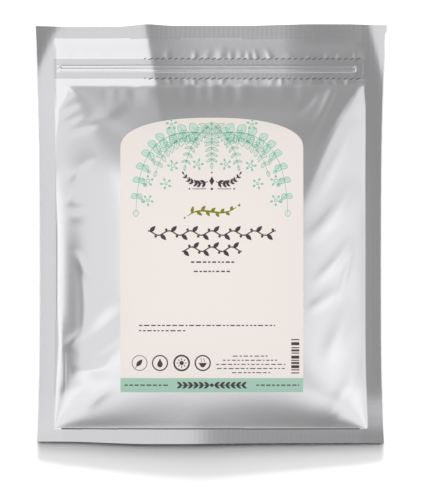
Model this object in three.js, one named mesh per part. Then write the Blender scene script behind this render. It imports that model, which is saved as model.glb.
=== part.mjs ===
// A flat zip pouch of foil laminate, filled with dried cut root, heat-sealed on all four sides and
// labelled on the front. It lies on its back, as a filled pouch with no bottom gusset does.
//
// Millimetres. X runs across the pouch, Y towards its zip and top seal, Z up from the table. The
// origin is on the table, under the middle of the pouch.
import * as THREE from 'three';
import { mergeVertices } from 'three/addons/utils/BufferGeometryUtils.js';

const { smoothstep, clamp, lerp } = THREE.MathUtils;

// Outline of the two sheets of film, as the filled pouch pulls it in.
const cornerHalfWidth = 127; // at the top corners
const waistHalfWidth = 123.3; // where the contents pull the sides in most
const bottomHalfWidth = 125.9; // at the bottom corners
const waistY = -35;
const halfLength = 152;
const topMiddleDip = 1.2; // the top edge rises from its middle to the right
const topLeftDip = 0.7; // and hangs a little lower on the left
const topBendPeak = 1.1; // but peaks where the header is bent
const topBendPeakX = -46;
const topCornerDip = 0.6;
const bottomRightRise = 1.2; // the bottom edge hangs lowest left of its middle
const bottomLeftRise = 1.5;

// Heat seals round the edge, and the zip's tape between the side seals.
const sideSeal = 11.5;
const widestInside = 113.4; // half the width inside the side seals is no more than this
const topSealY = 141.5; // lower limit of the top seal
const bottomSealY = -141.9; // upper limit of the bottom seal
const zipY = 119.6; // middle of the zip
const tapeHalf = 7.2; // half the height of the zip's tape
const beadHalf = 2.9; // half the height of the ridge that the interlock raises in the film
const beadFoot = 4.8; // where that ridge meets the tape
const zipStartX = -109.5; // the zip's two tracks stop short of the side seals
const zipEndX = 105.4;

// Thickness.
const film = 0.5;
const gap = 0.3; // between touching pieces
const tape = 0.4;
const label = 0.4;

// The filled body.
const seamZ = 14; // height of the seam round the body above the table
const crown = 29; // how far the front stands above the seam
const fullestY = -5;
const bulgeTop = 107.4; // the contents end here, a little below the zip's tape
const bulgeBottom = -140.6; // and here, just inside the bottom seal
const backPlateau = 1.7; // the back is flat where its share of the bulge is over 1 / this
const topNarrowing = 4.5; // the contents leave the top corners empty
const topLeftEase = 0.75; // and have slid away from the left one, where the film rises gently
const rightEase = 0.13; // the right side is a little rounder than the left
const topHip = 3; // how sharply the body's facets meet in creases towards the top corners
const bottomHip = 1.4; // and towards the bottom ones
const headerSag = 2.2; // the header beyond the contents hangs down this far
const bottomSag = 0.8;
const leftSag = 0.9;
const rightSag = 0.8;
const bendTopX = -47.5; // the header is bent along a line that leans from here towards the middle
const bendLean = 0.18;
const bendLeftSlope = 0.065; // it falls evenly to the left of that bend
const bendRightSlope = 0.004; // and more gently to the right of it
const bendRightDrop = 1.1; // after a short steeper stretch
const bendRightReach = 20;
const bendRightEndDrop = 2;
const bowSlope = 0.05; // the bottom seal falls away from its middle to both corners
const bowX = -6;
// Both top corners curl up beyond a hinge line: a point on it, the way across it, and the slope.
const topLeftCurl = { x: -114.1, y: 141.8, acrossX: -0.906, acrossY: 0.426, slope: 0.16, softness: 4 };
const topRightCurl = { x: 115.6, y: 151.9, acrossX: 0.969, acrossY: 0.242, slope: 0.17, softness: 2.5 };
const tapeLift = 0.75; // film above the seam sheet, over the tape
const beadLift = 1.5; // and over the interlock

// The label: straight sides, square bottom corners and an arched top.
const labelLeft = -65;
const labelRight = 66.9;
const labelBottom = -114.5;
const labelShoulder = 61.5; // where the straight sides end
const labelApex = 83.8;
const archPower = 2.35;

// ---------------------------------------------------------------- the pouch's own shape

// Half the pouch's width at height y, which narrows smoothly towards the waist.
function halfWidth(y) {
  if (y > waistY) {
    return lerp(waistHalfWidth, cornerHalfWidth, ((y - waistY) / (halfLength - waistY)) ** 3);
  }
  return lerp(waistHalfWidth, bottomHalfWidth, ((waistY - y) / (halfLength + waistY)) ** 3);
}

const innerHalfWidth = (y) => Math.min(halfWidth(y) - sideSeal, widestInside);

function topEdge(x) {
  const middle = topMiddleDip * (1 - smoothstep(x, 20, 80)) + topLeftDip * smoothstep(-x, 50, 72);
  const peak = topBendPeak * Math.exp(-(((x - topBendPeakX) / 11) ** 2));
  const corners = topCornerDip * (smoothstep(x, 100, 127) - smoothstep(-x, 104, 127));
  return halfLength - middle + peak - corners;
}

const bottomEdge = (x) =>
  -halfLength + bottomRightRise * smoothstep(x, -35, 45) + bottomLeftRise * smoothstep(-x, 45, 110);

// Height added beyond a corner's hinge line, with a soft bend at the line.
function curl(x, y, corner) {
  const beyond = (x - corner.x) * corner.acrossX + (y - corner.y) * corner.acrossY;
  return (corner.slope * (beyond + Math.hypot(beyond, corner.softness))) / 2;
}

// Height of the sheet midway between the two films. It is level round the body. The header is bent
// along a slanting line, the bottom seal bows, and the free edges sag.
function seamSheet(x, y) {
  const sag = headerSag * smoothstep(y, 96, 160) + bottomSag * smoothstep(-y, 134, 156)
    + leftSag * smoothstep(-x, 106, 128) + rightSag * smoothstep(x, 108, 132);
  const fromLine = x - (bendTopX + (halfLength - y) * bendLean);
  const fromBend = Math.hypot(fromLine, 2) - 2;
  const fall = fromLine < 0
    ? bendLeftSlope * fromBend
    : bendRightSlope * fromBend + bendRightDrop * (1 - Math.exp(-fromBend / bendRightReach))
      + bendRightEndDrop * smoothstep(x, 52, 118);
  const bend = smoothstep(y, 20, 126) * fall;
  const bow = smoothstep(-y, 110, 146) * bowSlope * (Math.hypot(x - bowX, 10) - 10);
  return seamZ - sag - bend - bow + curl(x, y, topLeftCurl) + curl(x, y, topRightCurl);
}

// 0 at the seam to 1 at the fullest point. The contents lie against the bottom seal and thin out
// towards the zip, so the bulge is steep at the sides and bottom and gentle at the top.
function bulge(x, y, inset = 0) {
  const narrowing = topNarrowing * smoothstep(y, 90, 108);
  const fromMiddle = clamp(Math.abs(x) / (innerHalfWidth(y) - narrowing - inset), 0, 1);
  const up = clamp((y - fullestY) / (bulgeTop - inset - fullestY), 0, 1);
  const down = clamp((fullestY - y) / (fullestY - bulgeBottom - inset), 0, 1);
  const along = y > fullestY ? (1 - up ** 2.2) ** 1.15 : (1 - down ** 4) ** 1.15;
  const upper = smoothstep(y, -10, 100);
  const lower = smoothstep(-y, -10, 120);
  const ease = topLeftEase * smoothstep(y, 40, 108) * smoothstep(-x, 0, 60)
    + rightEase * smoothstep(x, 0, 60) * smoothstep(80 - y, 0, 80);
  const across = (1 - fromMiddle ** (3 + 0.2 * upper)) ** (0.82 + 0.43 * upper + 0.06 * lower + ease);
  if (across < 1e-4 || along < 1e-4) return 0;
  const hip = lerp(topHip, bottomHip, smoothstep(-y, 0, 110));
  return (across ** -hip + along ** -hip - 1) ** (-1 / hip);
}

// How far the zip holds each film off the seam sheet. The film falls evenly from the tape to the top seal.
function zipLift(x, y) {
  const fromZip = Math.abs(y - zipY);
  const overTape = y > zipY
    ? smoothstep(topSealY - y, 0, topSealY - zipY - tapeHalf)
    : smoothstep(y, 84, zipY - tapeHalf);
  const bead = (beadLift - tapeLift) * clamp((beadFoot - fromZip) / (beadFoot - beadHalf), 0, 1);
  const atSides = clamp((innerHalfWidth(y) - Math.abs(x)) / 1.1, 0, 1);
  return atSides * (overTape * tapeLift + bead);
}

// Inner face of the front film above the seam sheet, and of the back film below it. The back is
// pressed flat on the table.
const frontRise = (x, y) => gap / 2 + zipLift(x, y) + crown * bulge(x, y);

const pressed = (share) => 1 - Math.max(0, 1 - backPlateau * share) ** 2;

const backDrop = (x, y) =>
  gap / 2 + zipLift(x, y) + (seamSheet(x, y) - film - gap / 2) * pressed(bulge(x, y));

// ---------------------------------------------------------------- closed sheets over a grid

// Evenly spaced numbers from a to b, without a.
const steps = (a, b, count) => Array.from({ length: count }, (_, i) => lerp(a, b, (i + 1) / count));

// A closed solid between two sheets of points over the same grid. With a rim the sheets' edges are
// joined by a wall; without one they meet at the edge.
function betweenSheets(lower, upper, withRim) {
  const columns = lower.length;
  const rows = lower[0].length;
  const points = [...lower.flat(), ...upper.flat()];
  const at = (side, i, j) => side * columns * rows + i * rows + j;
  const faces = [];
  const quad = (a, b, c, d) => faces.push(a, b, c, a, c, d);
  for (let i = 0; i < columns - 1; i++) {
    for (let j = 0; j < rows - 1; j++) {
      quad(at(1, i, j), at(1, i + 1, j), at(1, i + 1, j + 1), at(1, i, j + 1));
      quad(at(0, i, j), at(0, i, j + 1), at(0, i + 1, j + 1), at(0, i + 1, j));
    }
  }
  if (withRim) {
    for (let i = 0; i < columns - 1; i++) {
      quad(at(0, i, 0), at(0, i + 1, 0), at(1, i + 1, 0), at(1, i, 0));
      quad(at(0, i + 1, rows - 1), at(0, i, rows - 1), at(1, i, rows - 1), at(1, i + 1, rows - 1));
    }
    for (let j = 0; j < rows - 1; j++) {
      quad(at(0, 0, j + 1), at(0, 0, j), at(1, 0, j), at(1, 0, j + 1));
      quad(at(0, columns - 1, j), at(0, columns - 1, j + 1), at(1, columns - 1, j + 1), at(1, columns - 1, j));
    }
  }
  const geometry = new THREE.BufferGeometry();
  geometry.setAttribute('position', new THREE.Float32BufferAttribute(points.flat(), 3));
  geometry.setIndex(faces);
  return mergeVertices(geometry, 1e-3);
}

// Points of a sheet over a grid of columns and rows, each given by place(column, row) and height(x, y).
const sheet = (columns, rows, place, height) =>
  columns.map((u) =>
    rows.map((v) => {
      const [x, y] = place(u, v);
      return [x, y, height(x, y)];
    }));

function finished(name, geometry, colour, roughness, metalness) {
  const flat = geometry.toNonIndexed();
  flat.computeVertexNormals();
  const mesh = new THREE.Mesh(flat, new THREE.MeshStandardMaterial({ color: colour, roughness, metalness }));
  mesh.name = name;
  return mesh;
}

// ---------------------------------------------------------------- front and back film

// Columns go from -2 to 2: the side seals lie between 1 and 2, and the body inside 1.
const bodyColumns = steps(0, 1, 11).map((t) => Math.sin((t * Math.PI) / 2));
const rightColumns = [...bodyColumns, 1.5, 2];
const filmColumns = [...rightColumns.map((u) => -u).reverse(), 0, ...rightColumns];
const filmRows = [
  -halfLength,
  bottomSealY,
  bulgeBottom,
  ...steps(0, 1, 11).map((t) => lerp(bulgeBottom, fullestY, 1 - Math.cos((t * Math.PI) / 2))),
  ...steps(fullestY, bulgeTop, 12),
  zipY - tapeHalf,
  zipY - beadFoot,
  zipY - beadHalf,
  zipY + beadHalf,
  zipY + beadFoot,
  zipY + tapeHalf,
  ...steps(zipY + tapeHalf, topSealY, 3),
  halfLength,
];

function placeOnPouch(column, row) {
  const nominalX = Math.sign(column)
    * (Math.min(Math.abs(column), 1) * (cornerHalfWidth - sideSeal) + Math.max(0, Math.abs(column) - 1) * sideSeal);
  const top = (topEdge(nominalX) - halfLength) * smoothstep(row, topSealY - 8, halfLength);
  const bottom = (bottomEdge(nominalX) + halfLength) * smoothstep(-row, -bottomSealY - 4, halfLength);
  const y = row + top + bottom;
  const side = Math.sign(column);
  const intoSeal = Math.max(0, Math.abs(column) - 1);
  const x = intoSeal > 0
    ? side * lerp(innerHalfWidth(y), halfWidth(y), intoSeal)
    : column * innerHalfWidth(y);
  return [x, y];
}

// The film is measured square to itself, so on a slope its upright thickness is more.
const uprightFilm = (rise, x, y) => {
  const step = 0.5;
  const slope = Math.hypot(rise(x + step, y) - rise(x - step, y), rise(x, y + step) - rise(x, y - step)) / (2 * step);
  return film * Math.min(1.8, Math.hypot(1, slope));
};

const frontInner = (x, y) => seamSheet(x, y) + frontRise(x, y);
const frontOuter = (x, y) => frontInner(x, y) + uprightFilm(frontRise, x, y);
const backInner = (x, y) => seamSheet(x, y) - backDrop(x, y);
const backOuter = (x, y) => Math.max(0, backInner(x, y) - uprightFilm(backDrop, x, y));

function makeFilm(name, lower, upper) {
  const geometry = betweenSheets(
    sheet(filmColumns, filmRows, placeOnPouch, lower),
    sheet(filmColumns, filmRows, placeOnPouch, upper),
    true,
  );
  return finished(name, geometry, 0xb9babc, 0.3, 1);
}

// ---------------------------------------------------------------- zip

// Sections of the two tracks, as [y from the zip's middle, z from the seam sheet]. The front track
// carries a channel with two hooks, and the back track a rib whose head snaps in behind them.
const flangeEdge = 6.8;
const channelTrack = [
  [-flangeEdge, 0.6], [-4.2, 0.6], [-2.5, 1.35], [2.5, 1.35], [4.2, 0.6], [flangeEdge, 0.6],
  [flangeEdge, 0.2], [4.4, 0.2], [2.6, 0.95], [1.9, 0.95], [1.9, -0.6], [0.75, -0.6], [0.75, -0.15],
  [1.1, -0.15], [1.1, 0.95], [-1.1, 0.95], [-1.1, -0.15], [-0.75, -0.15], [-0.75, -0.6],
  [-1.9, -0.6], [-1.9, 0.95], [-2.6, 0.95], [-4.4, 0.2], [-flangeEdge, 0.2],
];
const ribTrack = [
  [-flangeEdge, -0.2], [-4.4, -0.2], [-2.6, -0.95], [-0.4, -0.95], [-0.4, 0.15], [-0.75, 0.15],
  [-0.5, 0.65], [0.5, 0.65], [0.75, 0.15], [0.4, 0.15], [0.4, -0.95], [2.6, -0.95], [4.4, -0.2],
  [flangeEdge, -0.2], [flangeEdge, -0.6], [4.2, -0.6], [2.5, -1.35], [-2.5, -1.35], [-4.2, -0.6],
  [-flangeEdge, -0.6],
];

// Sweeps a section along the zip, following the seam sheet, with a station at each column of the film.
function makeTrack(name, section) {
  const ring = section.map(([across, up]) => new THREE.Vector2(across, up));
  if (THREE.ShapeUtils.isClockWise(ring)) ring.reverse();
  const onColumns = filmColumns.map((u) => u * innerHalfWidth(zipY)).filter((x) => x > zipStartX + 2 && x < zipEndX - 2);
  const stations = [zipStartX, ...onColumns, zipEndX];
  const count = ring.length;
  const points = stations.flatMap((x) =>
    ring.flatMap((p) => [x, zipY + p.x, seamSheet(x, zipY + p.x) + p.y]));
  const faces = [];
  for (let s = 0; s < stations.length - 1; s++) {
    for (let k = 0; k < count; k++) {
      const a = s * count + k;
      const b = s * count + ((k + 1) % count);
      faces.push(a, b, b + count, a, b + count, a + count);
    }
  }
  const last = (stations.length - 1) * count;
  for (const [a, b, c] of THREE.ShapeUtils.triangulateShape(ring, [])) {
    faces.push(a, c, b, last + a, last + b, last + c);
  }
  const geometry = new THREE.BufferGeometry();
  geometry.setAttribute('position', new THREE.Float32BufferAttribute(points, 3));
  geometry.setIndex(faces);
  return finished(name, geometry, 0xe9ebea, 0.45, 0);
}

// ---------------------------------------------------------------- contents

// The dried root lies in one loose mass, a little short of the seams and of the zip.
function makeContents() {
  const inset = 7;
  const slack = 2.2;
  const halfAcross = (y) => innerHalfWidth(y) - inset;
  const low = bulgeBottom + inset;
  const high = bulgeTop - inset;
  const columns = [-1, ...steps(-1, 1, 20)].map((u) => Math.sin((u * Math.PI) / 2));
  const rows = [-1, ...steps(-1, 1, 22)].map((v) => lerp(low, high, (1 + Math.sin((v * Math.PI) / 2)) / 2));
  const place = (u, v) => [u * halfAcross(v), v];
  const top = (x, y) => seamSheet(x, y) + (crown - slack) * bulge(x, y, inset);
  const offTable = film + gap + 1;
  const bottom = (x, y) =>
    seamSheet(x, y) - (seamSheet(x, y) - offTable) * pressed(bulge(x, y, inset) * 0.9);
  const geometry = betweenSheets(sheet(columns, rows, place, bottom), sheet(columns, rows, place, top), false);
  return finished('dried_root_contents', geometry, 0x9a8363, 0.95, 0);
}

// ---------------------------------------------------------------- label

function makeLabel() {
  const middle = (labelLeft + labelRight) / 2;
  const half = (labelRight - labelLeft) / 2;
  const arch = (x) => {
    const share = clamp(Math.abs(x - middle) / half, 0, 1);
    return labelShoulder + (labelApex - labelShoulder) * (1 - share ** archPower) ** (1 / archPower);
  };
  const columns = [-1, ...steps(-1, 1, 16)].map((u) => middle + half * Math.sin((u * Math.PI) / 2));
  const rows = [0, ...steps(0, 1, 18)];
  const place = (x, v) => [x, lerp(labelBottom, arch(x), v)];
  const under = (x, y) => frontOuter(x, y) + gap;
  const over = (x, y) => under(x, y) + label;
  const geometry = betweenSheets(sheet(columns, rows, place, under), sheet(columns, rows, place, over), true);
  return finished('front_label', geometry, 0xf1e9e4, 0.6, 0);
}

// ---------------------------------------------------------------- the pouch

const pouch = new THREE.Group();
pouch.name = 'foil_zip_pouch';
pouch.add(
  makeFilm('front_film', frontInner, frontOuter),
  makeFilm('back_film', backOuter, backInner),
  makeTrack('zip_channel_track', channelTrack),
  makeTrack('zip_rib_track', ribTrack),
  makeContents(),
  makeLabel(),
);

export default pouch;
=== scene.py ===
"""A flat zip pouch of foil laminate, filled with dried cut root, heat-sealed all round and labelled on
the front. It lies on its back on a pale table, and the camera looks straight down on its label."""
import math
import random

import bpy
import numpy as np
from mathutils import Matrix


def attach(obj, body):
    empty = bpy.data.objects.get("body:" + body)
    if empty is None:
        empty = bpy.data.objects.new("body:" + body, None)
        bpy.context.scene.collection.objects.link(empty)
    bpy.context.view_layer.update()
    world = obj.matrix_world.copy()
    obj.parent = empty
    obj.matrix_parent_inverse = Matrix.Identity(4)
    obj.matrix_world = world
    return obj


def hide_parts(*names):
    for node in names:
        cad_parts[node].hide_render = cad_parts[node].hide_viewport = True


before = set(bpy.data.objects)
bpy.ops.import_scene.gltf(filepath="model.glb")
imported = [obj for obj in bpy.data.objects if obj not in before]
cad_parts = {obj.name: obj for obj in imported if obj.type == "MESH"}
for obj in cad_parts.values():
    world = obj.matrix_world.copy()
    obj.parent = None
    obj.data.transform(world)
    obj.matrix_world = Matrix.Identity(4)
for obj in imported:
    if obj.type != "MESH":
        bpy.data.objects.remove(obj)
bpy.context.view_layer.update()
scene = bpy.context.scene

# ---------------------------------------------------------------------------------------- camera
# A long lens far above the pouch, square to the table, so that the sheet shows with almost no
# perspective. The frame's 500 rows of pixels each cover 0.7245 mm of the pouch's mid-height.
pixel_rows, row_millimetres = 500, 0.7245
frame_height = pixel_rows * row_millimetres / 1000
frame_middle_y = -0.0118
camera_height = 4.0
mid_height = 0.014
sensor_width = 36.0

camera = bpy.data.objects.new("camera", bpy.data.cameras.new("camera"))
scene.collection.objects.link(camera)
scene.camera = camera
camera.data.sensor_width = sensor_width
camera.data.lens = sensor_width * (camera_height - mid_height) / frame_height
camera.data.clip_end = 20
camera.location = (0, frame_middle_y, camera_height)
scene.view_settings.view_transform = "Standard"


# ---------------------------------------------------------------------------------------- studio
# A grey tent over the table. Softboxes glow through its cloth on all sides, with black and grey flags
# before them, and the foil mirrors both. Each is placed by the tilt of film that shows it to someone
# looking straight down: its middle and half size are slopes, to the right and towards the zip.
def linear(hex_colour):
    """An sRGB hex colour as the linear RGBA that Blender's sockets take."""
    parts = [int(hex_colour[i:i + 2], 16) / 255 for i in (1, 3, 5)]
    return [p / 12.92 if p <= 0.04045 else ((p + 0.055) / 1.055) ** 2.4 for p in parts] + [1]


def add(tree, kind, inputs=None, **settings):
    """Adds a node with its settings, and feeds its inputs with values, nodes or sockets."""
    node = tree.nodes.new(kind)
    for name, value in settings.items():
        setattr(node, name, value)
    for key, value in (inputs or {}).items():
        if isinstance(value, bpy.types.Node):
            value = value.outputs[0]
        if isinstance(value, bpy.types.NodeSocket):
            tree.links.new(value, node.inputs[key])
        else:
            node.inputs[key].default_value = value
    return node


world = bpy.data.worlds.new("tent")
scene.world = world
world.use_nodes = True
tree = world.node_tree
tree.nodes.clear()
# The film whose mirror image of the zenith lies in a direction has that direction's sideways part, over
# one plus its upward part, as its slope.
way = add(tree, "ShaderNodeTexCoord")
parts = add(tree, "ShaderNodeSeparateXYZ", {0: way.outputs["Generated"]})
over = add(tree, "ShaderNodeMath", {0: parts.outputs["Z"], 1: 1.0}, operation="ADD")
over = add(tree, "ShaderNodeMath", {0: over, 1: 0.001}, operation="MAXIMUM")
sideways = (1, 1, 0)
slope = add(tree, "ShaderNodeVectorMath", {0: way.outputs["Generated"], 1: sideways}, operation="MULTIPLY")
shrink = add(tree, "ShaderNodeMath", {0: 1.0, 1: over}, operation="DIVIDE")
slope = add(tree, "ShaderNodeVectorMath", {0: slope, "Scale": shrink}, operation="SCALE")

tent_grey = 0.29
softboxes = [  # middle, turn in degrees, half size, softness of the side and end edges, brightness
    ((0.02, -0.38), 0, (0.75, 0.21), (0.50, 0.50), 0.66),
    ((-0.595, -0.10), 3, (0.585, 0.46), (0.06, 0.36), 0.83),
    ((-0.124, 0.145), 4, (0.115, 0.305), (0.20, 0.30), 1.05),
    ((-0.20, 0.47), 0, (0.22, 0.15), (0.80, 0.50), 0.71),
    ((-0.28, -0.26), 0, (0.28, 0.15), (0.80, 0.80), 1.08),
    ((-0.265, -0.55), 0, (0.22, 0.19), (0.20, 0.35), 0.93),
    ((-1.04, -0.05), 0, (0.22, 0.50), (0.40, 0.30), 1.04),
    ((0.695, -0.05), 0, (0.515, 0.50), (0.04, 0.35), 0.79),
    ((0.49, -0.195), 15, (0.26, 0.175), (0.80, 0.80), 1.07),
    ((0.26, -0.54), 0, (0.185, 0.172), (0.25, 0.45), 0.92),
    ((1.02, -0.05), 0, (0.20, 0.50), (0.40, 0.30), 0.74),
]
flags = [  # oval cloths that dim what is behind them: middle, turn, half size, softness, brightness
    ((-0.650, -0.065), 0, (0.135, 0.078), 0.45, 0.20),   # makes the dark lens, lower left
    ((-0.50, 0.31), 0, (0.30, 0.10), 0.80, 0.62),
    ((0.10, 0.27), 30, (0.10, 0.28), 0.30, 0.33),
    ((0.050, 0.06), 0, (0.028, 0.07), 0.60, 0.20),
    ((0.09, -0.10), 0, (0.08, 0.14), 0.60, 0.27),
    ((-0.17, 0.30), 0, (0.14, 0.09), 0.70, 0.50),
    ((0.20, 0.18), 0, (0.11, 0.11), 0.30, 0.38),
    ((-0.33, -0.07), 0, (0.21, 0.048), 0.45, 0.80),
    ((-0.22, -0.28), 0, (0.12, 0.05), 0.70, 0.88),
    ((0.00, 0.76), 0, (0.70, 0.17), 0.20, 0.13),   # draws the dark lines beside the zip and the seams
    ((0.00, -0.90), 0, (0.60, 0.16), 0.30, 0.26),   # and dims the steep film above the bottom seal
]
light = tent_grey
for middle, turn, half, soft, brightness in softboxes + flags:
    placed = add(tree, "ShaderNodeVectorMath", {0: slope, 1: (*middle, 0)}, operation="SUBTRACT")
    placed = add(tree, "ShaderNodeVectorRotate", {"Vector": placed, "Angle": -math.radians(turn)},
                 rotation_type="Z_AXIS")
    placed = add(tree, "ShaderNodeVectorMath", {0: placed, 1: (*half, 1)}, operation="DIVIDE")
    if isinstance(soft, tuple):
        placed = add(tree, "ShaderNodeVectorMath", {0: placed}, operation="ABSOLUTE")
        sides = add(tree, "ShaderNodeSeparateXYZ", {0: placed})
        reach = list(zip(soft, sides.outputs))
    else:
        distance = add(tree, "ShaderNodeVectorMath", {0: placed}, operation="LENGTH")
        reach = [(soft, distance.outputs["Value"])]
    cover = 1.0
    for edge, share in reach:
        inside = add(tree, "ShaderNodeMapRange", {0: share, 1: 1 - edge, 2: 1 + edge, 3: 1.0, 4: 0.0},
                     interpolation_type="SMOOTHSTEP")
        cover = add(tree, "ShaderNodeMath", {0: cover, 1: inside}, operation="MULTIPLY")
    light = add(tree, "ShaderNodeMix", {0: cover, 2: light, 3: brightness}, data_type="FLOAT")
# The tent is dim next to the banks, so matt surfaces take little from it. Past the table is a white wall.
tent_on_matt, wall = 0.02, 1.0
path = add(tree, "ShaderNodeLightPath")
light = add(tree, "ShaderNodeMix", {0: path.outputs["Is Diffuse Ray"], 2: light, 3: tent_on_matt},
            data_type="FLOAT")
light = add(tree, "ShaderNodeMix", {0: path.outputs["Is Camera Ray"], 2: light, 3: wall},
            data_type="FLOAT")
glow = add(tree, "ShaderNodeBackground", {"Color": light, "Strength": 1.0})
add(tree, "ShaderNodeOutputWorld", {"Surface": glow})

# Four banks of lamps, none of which shows in the foil. Three light the table, from overhead to far beyond
# the zip end, so the pouch's shadow falls past its bottom seal and is deepest there. The fourth hangs
# straight above and lights only the label. Sizes and places in metres, power in watts, tilt in degrees.
table_banks = [
    ("high_bank", (1.3, 1.7), 172, (0, 1.2, 6.2), -11),
    ("middle_bank", (1.3, 4.4), 221, (0, 3.9, 4.6), -40),
    ("low_bank", (1.6, 0.8), 320, (0, 5.3, 2.75), -62.5),
]
label_banks = [("label_bank", (2.4, 2.4), 149, (0, 0, 3.6), 0)]
banks = {}
for name, size, power, place, tilt in table_banks + label_banks:
    bank = bpy.data.lights.new(name, "AREA")
    bank.shape = "RECTANGLE"
    bank.size, bank.size_y = size
    bank.energy = power
    banks[name] = bpy.data.objects.new(name, bank)
    scene.collection.objects.link(banks[name])
    banks[name].location = place
    banks[name].rotation_euler = (math.radians(tilt), 0, 0)
    banks[name].visible_glossy = False
    banks[name].visible_camera = False
    banks[name].light_linking.receiver_collection = bpy.data.collections.new("lit_by_" + name)

# ---------------------------------------------------------------------------------------- table
# A wide sheet of opal acrylic on a light box, sanded matt on its upper side. It is part of the studio,
# and the pouch lies loose on it.

# Sanded opal acrylic: an even white, lit a little from below, with only the sanding's faint grain. The
# grain is drawn coarser than a sander leaves it, so that it shows. Object coordinates are in metres, so
# a pattern with that size in millimetres has a scale of 1000 over it.
sanding_grain = 1.11
opal_acrylic = bpy.data.materials.new("backlit_opal_acrylic")
opal_acrylic.use_nodes = True
tree = opal_acrylic.node_tree
shader = tree.nodes["Principled BSDF"]
shader.inputs["Base Color"].default_value = linear("#F8F8F8")
shader.inputs["Roughness"].default_value = 0.85
shader.inputs["Emission Color"].default_value = linear("#FFFFFF")
shader.inputs["Emission Strength"].default_value = 0.004
place = add(tree, "ShaderNodeTexCoord")
nap = add(tree, "ShaderNodeTexNoise",
          {"Vector": place.outputs["Object"], "Scale": 1000 / sanding_grain, "Detail": 2})
bump = add(tree, "ShaderNodeBump", {"Height": nap, "Strength": 0.05, "Distance": 0.0002})
tree.links.new(bump.outputs[0], shader.inputs["Normal"])

# The table lies a hairline below the pouch, so that no faces of the two coincide.
table_half, hairline = 4.0, 0.0003
table_corners = [(-table_half, -table_half, 0), (table_half, -table_half, 0),
                 (table_half, table_half, 0), (-table_half, table_half, 0)]
table_mesh = bpy.data.meshes.new("table")
table_mesh.from_pydata(table_corners, [], [(0, 1, 2, 3)])
table_mesh.materials.append(opal_acrylic)
table = bpy.data.objects.new("table", table_mesh)
scene.collection.objects.link(table)
table.location.z = -hairline
for name, *_ in table_banks:
    banks[name].light_linking.receiver_collection.objects.link(table)

# ---------------------------------------------------------------------------------------- front film
# The front sheet of the pouch: 0.13 mm of clear polyester, aluminium foil and polyethylene. It is
# heat-sealed to the back sheet on all four sides, welded to the zip's tape inside, and pushed up by
# the contents into a tight cushion with soft folds at its corners and sides.

# Sizes are in millimetres from the pouch's middle, x to the right and y towards the zip.
film_thickness, glue_line = 0.13, 0.01
half_length = 152.0
waist_half, waist_y = 123.3, -35.0   # the filling draws the sides in to a waist
top_flare, bottom_flare = 3.7, 2.6
side_seal, top_seal, bottom_seal = 11.5, 141.5, -141.9
widest_body = 113.4
zip_middle, tape_half = 119.6, 7.2
crown, fullest, bulge_top, bulge_bottom = 29.0, -5.0, 107.4, -141.3
seam_height = 14.0


def ramp(value, start, end):
    """0 before start to 1 after end, smoothly."""
    t = np.clip((value - start) / (end - start), 0, 1)
    return t * t * (3 - 2 * t)


def half_width(y):
    """Half the pouch's width at a height, with its seals."""
    above = waist_half + top_flare * np.clip((y - waist_y) / (half_length - waist_y), 0, 1) ** 3
    below = waist_half + bottom_flare * np.clip((waist_y - y) / (half_length + waist_y), 0, 1) ** 3
    return np.where(y > waist_y, above, below)


def inner_half(y):
    """Half the width inside the side seals, which are wider towards the four corners."""
    return np.minimum(half_width(y) - side_seal, widest_body)


def past(distance, softness):
    """0 before a hinge line, and the distance beyond it, with a soft bend between."""
    return (distance + np.sqrt(distance ** 2 + softness ** 2)) / 2


header_droop, foot_droop, left_droop, right_droop = 2.2, 0.8, 0.9, 0.8
# The header's bend, from the top edge down, and how the header falls away from it.
bend_top_x, bend_lean, bend_softness = -47.5, 0.18, 2.0
left_fall, right_fall = 0.065, 0.004
near_fall, near_fall_reach, right_corner_fall = 1.1, 20, 2.0
foot_bend_x, foot_bend_softness, foot_fall = -6, 10, 0.05
corner_curls = [  # slope, direction across the hinge line, a point on the line, and its softness
    (0.25, (-0.906, 0.426), (-114.1, 141.8), 4.0),
    (0.17, (0.969, 0.242), (115.6, 151.9), 2.5),
]


def seam_sheet(x, y):
    """Height of the sheet midway between the two films, which is bent at the header and the corners."""
    z = seam_height - header_droop * ramp(y, 96, 160) - foot_droop * ramp(-y, 134, 156)
    z = z - left_droop * ramp(-x, 106, 128) - right_droop * ramp(x, 108, 132)
    # The header falls away to both sides of its bend: evenly to the left, and first fast to the right.
    bend = x - (bend_top_x + (half_length - y) * bend_lean)
    from_bend = np.sqrt(bend * bend + bend_softness ** 2) - bend_softness
    right = right_fall * from_bend + near_fall * (1 - np.exp(-from_bend / near_fall_reach))
    right = right + right_corner_fall * ramp(x, 52, 118)
    z = z - ramp(y, 20, 126) * np.where(bend < 0, left_fall * from_bend, right)
    # The bottom seal falls away to both sides of a broad bend, just left of the middle.
    from_bend = np.sqrt((x - foot_bend_x) ** 2 + foot_bend_softness ** 2) - foot_bend_softness
    z = z - foot_fall * ramp(-y, 110, 146) * from_bend
    # Both top corners curl up, along hinge lines that cut them off.
    for slope, (across_x, across_y), (hinge_x, hinge_y), softness in corner_curls:
        z = z + slope * past(across_x * (x - hinge_x) + across_y * (y - hinge_y), softness)
    return z


# How full the body is towards its upper end, its lower end and its sides: the higher the fullness, the
# further out the film stays high, and the higher the softness, the gentler it meets the seam.
up_fullness, down_fullness, end_softness = 2.2, 4.0, 1.15
side_fullness, side_softness = 3.0, 0.82
top_narrowing, right_easing = 4.5, 2.8
gather, fine_scallop, broad_scallop = 1.2, 0.15, 0.22
crease_sharpness, lower_crease_loss = 3.0, 1.6
foot_curve, right_foot_loss = 0.03, 0.02


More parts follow.
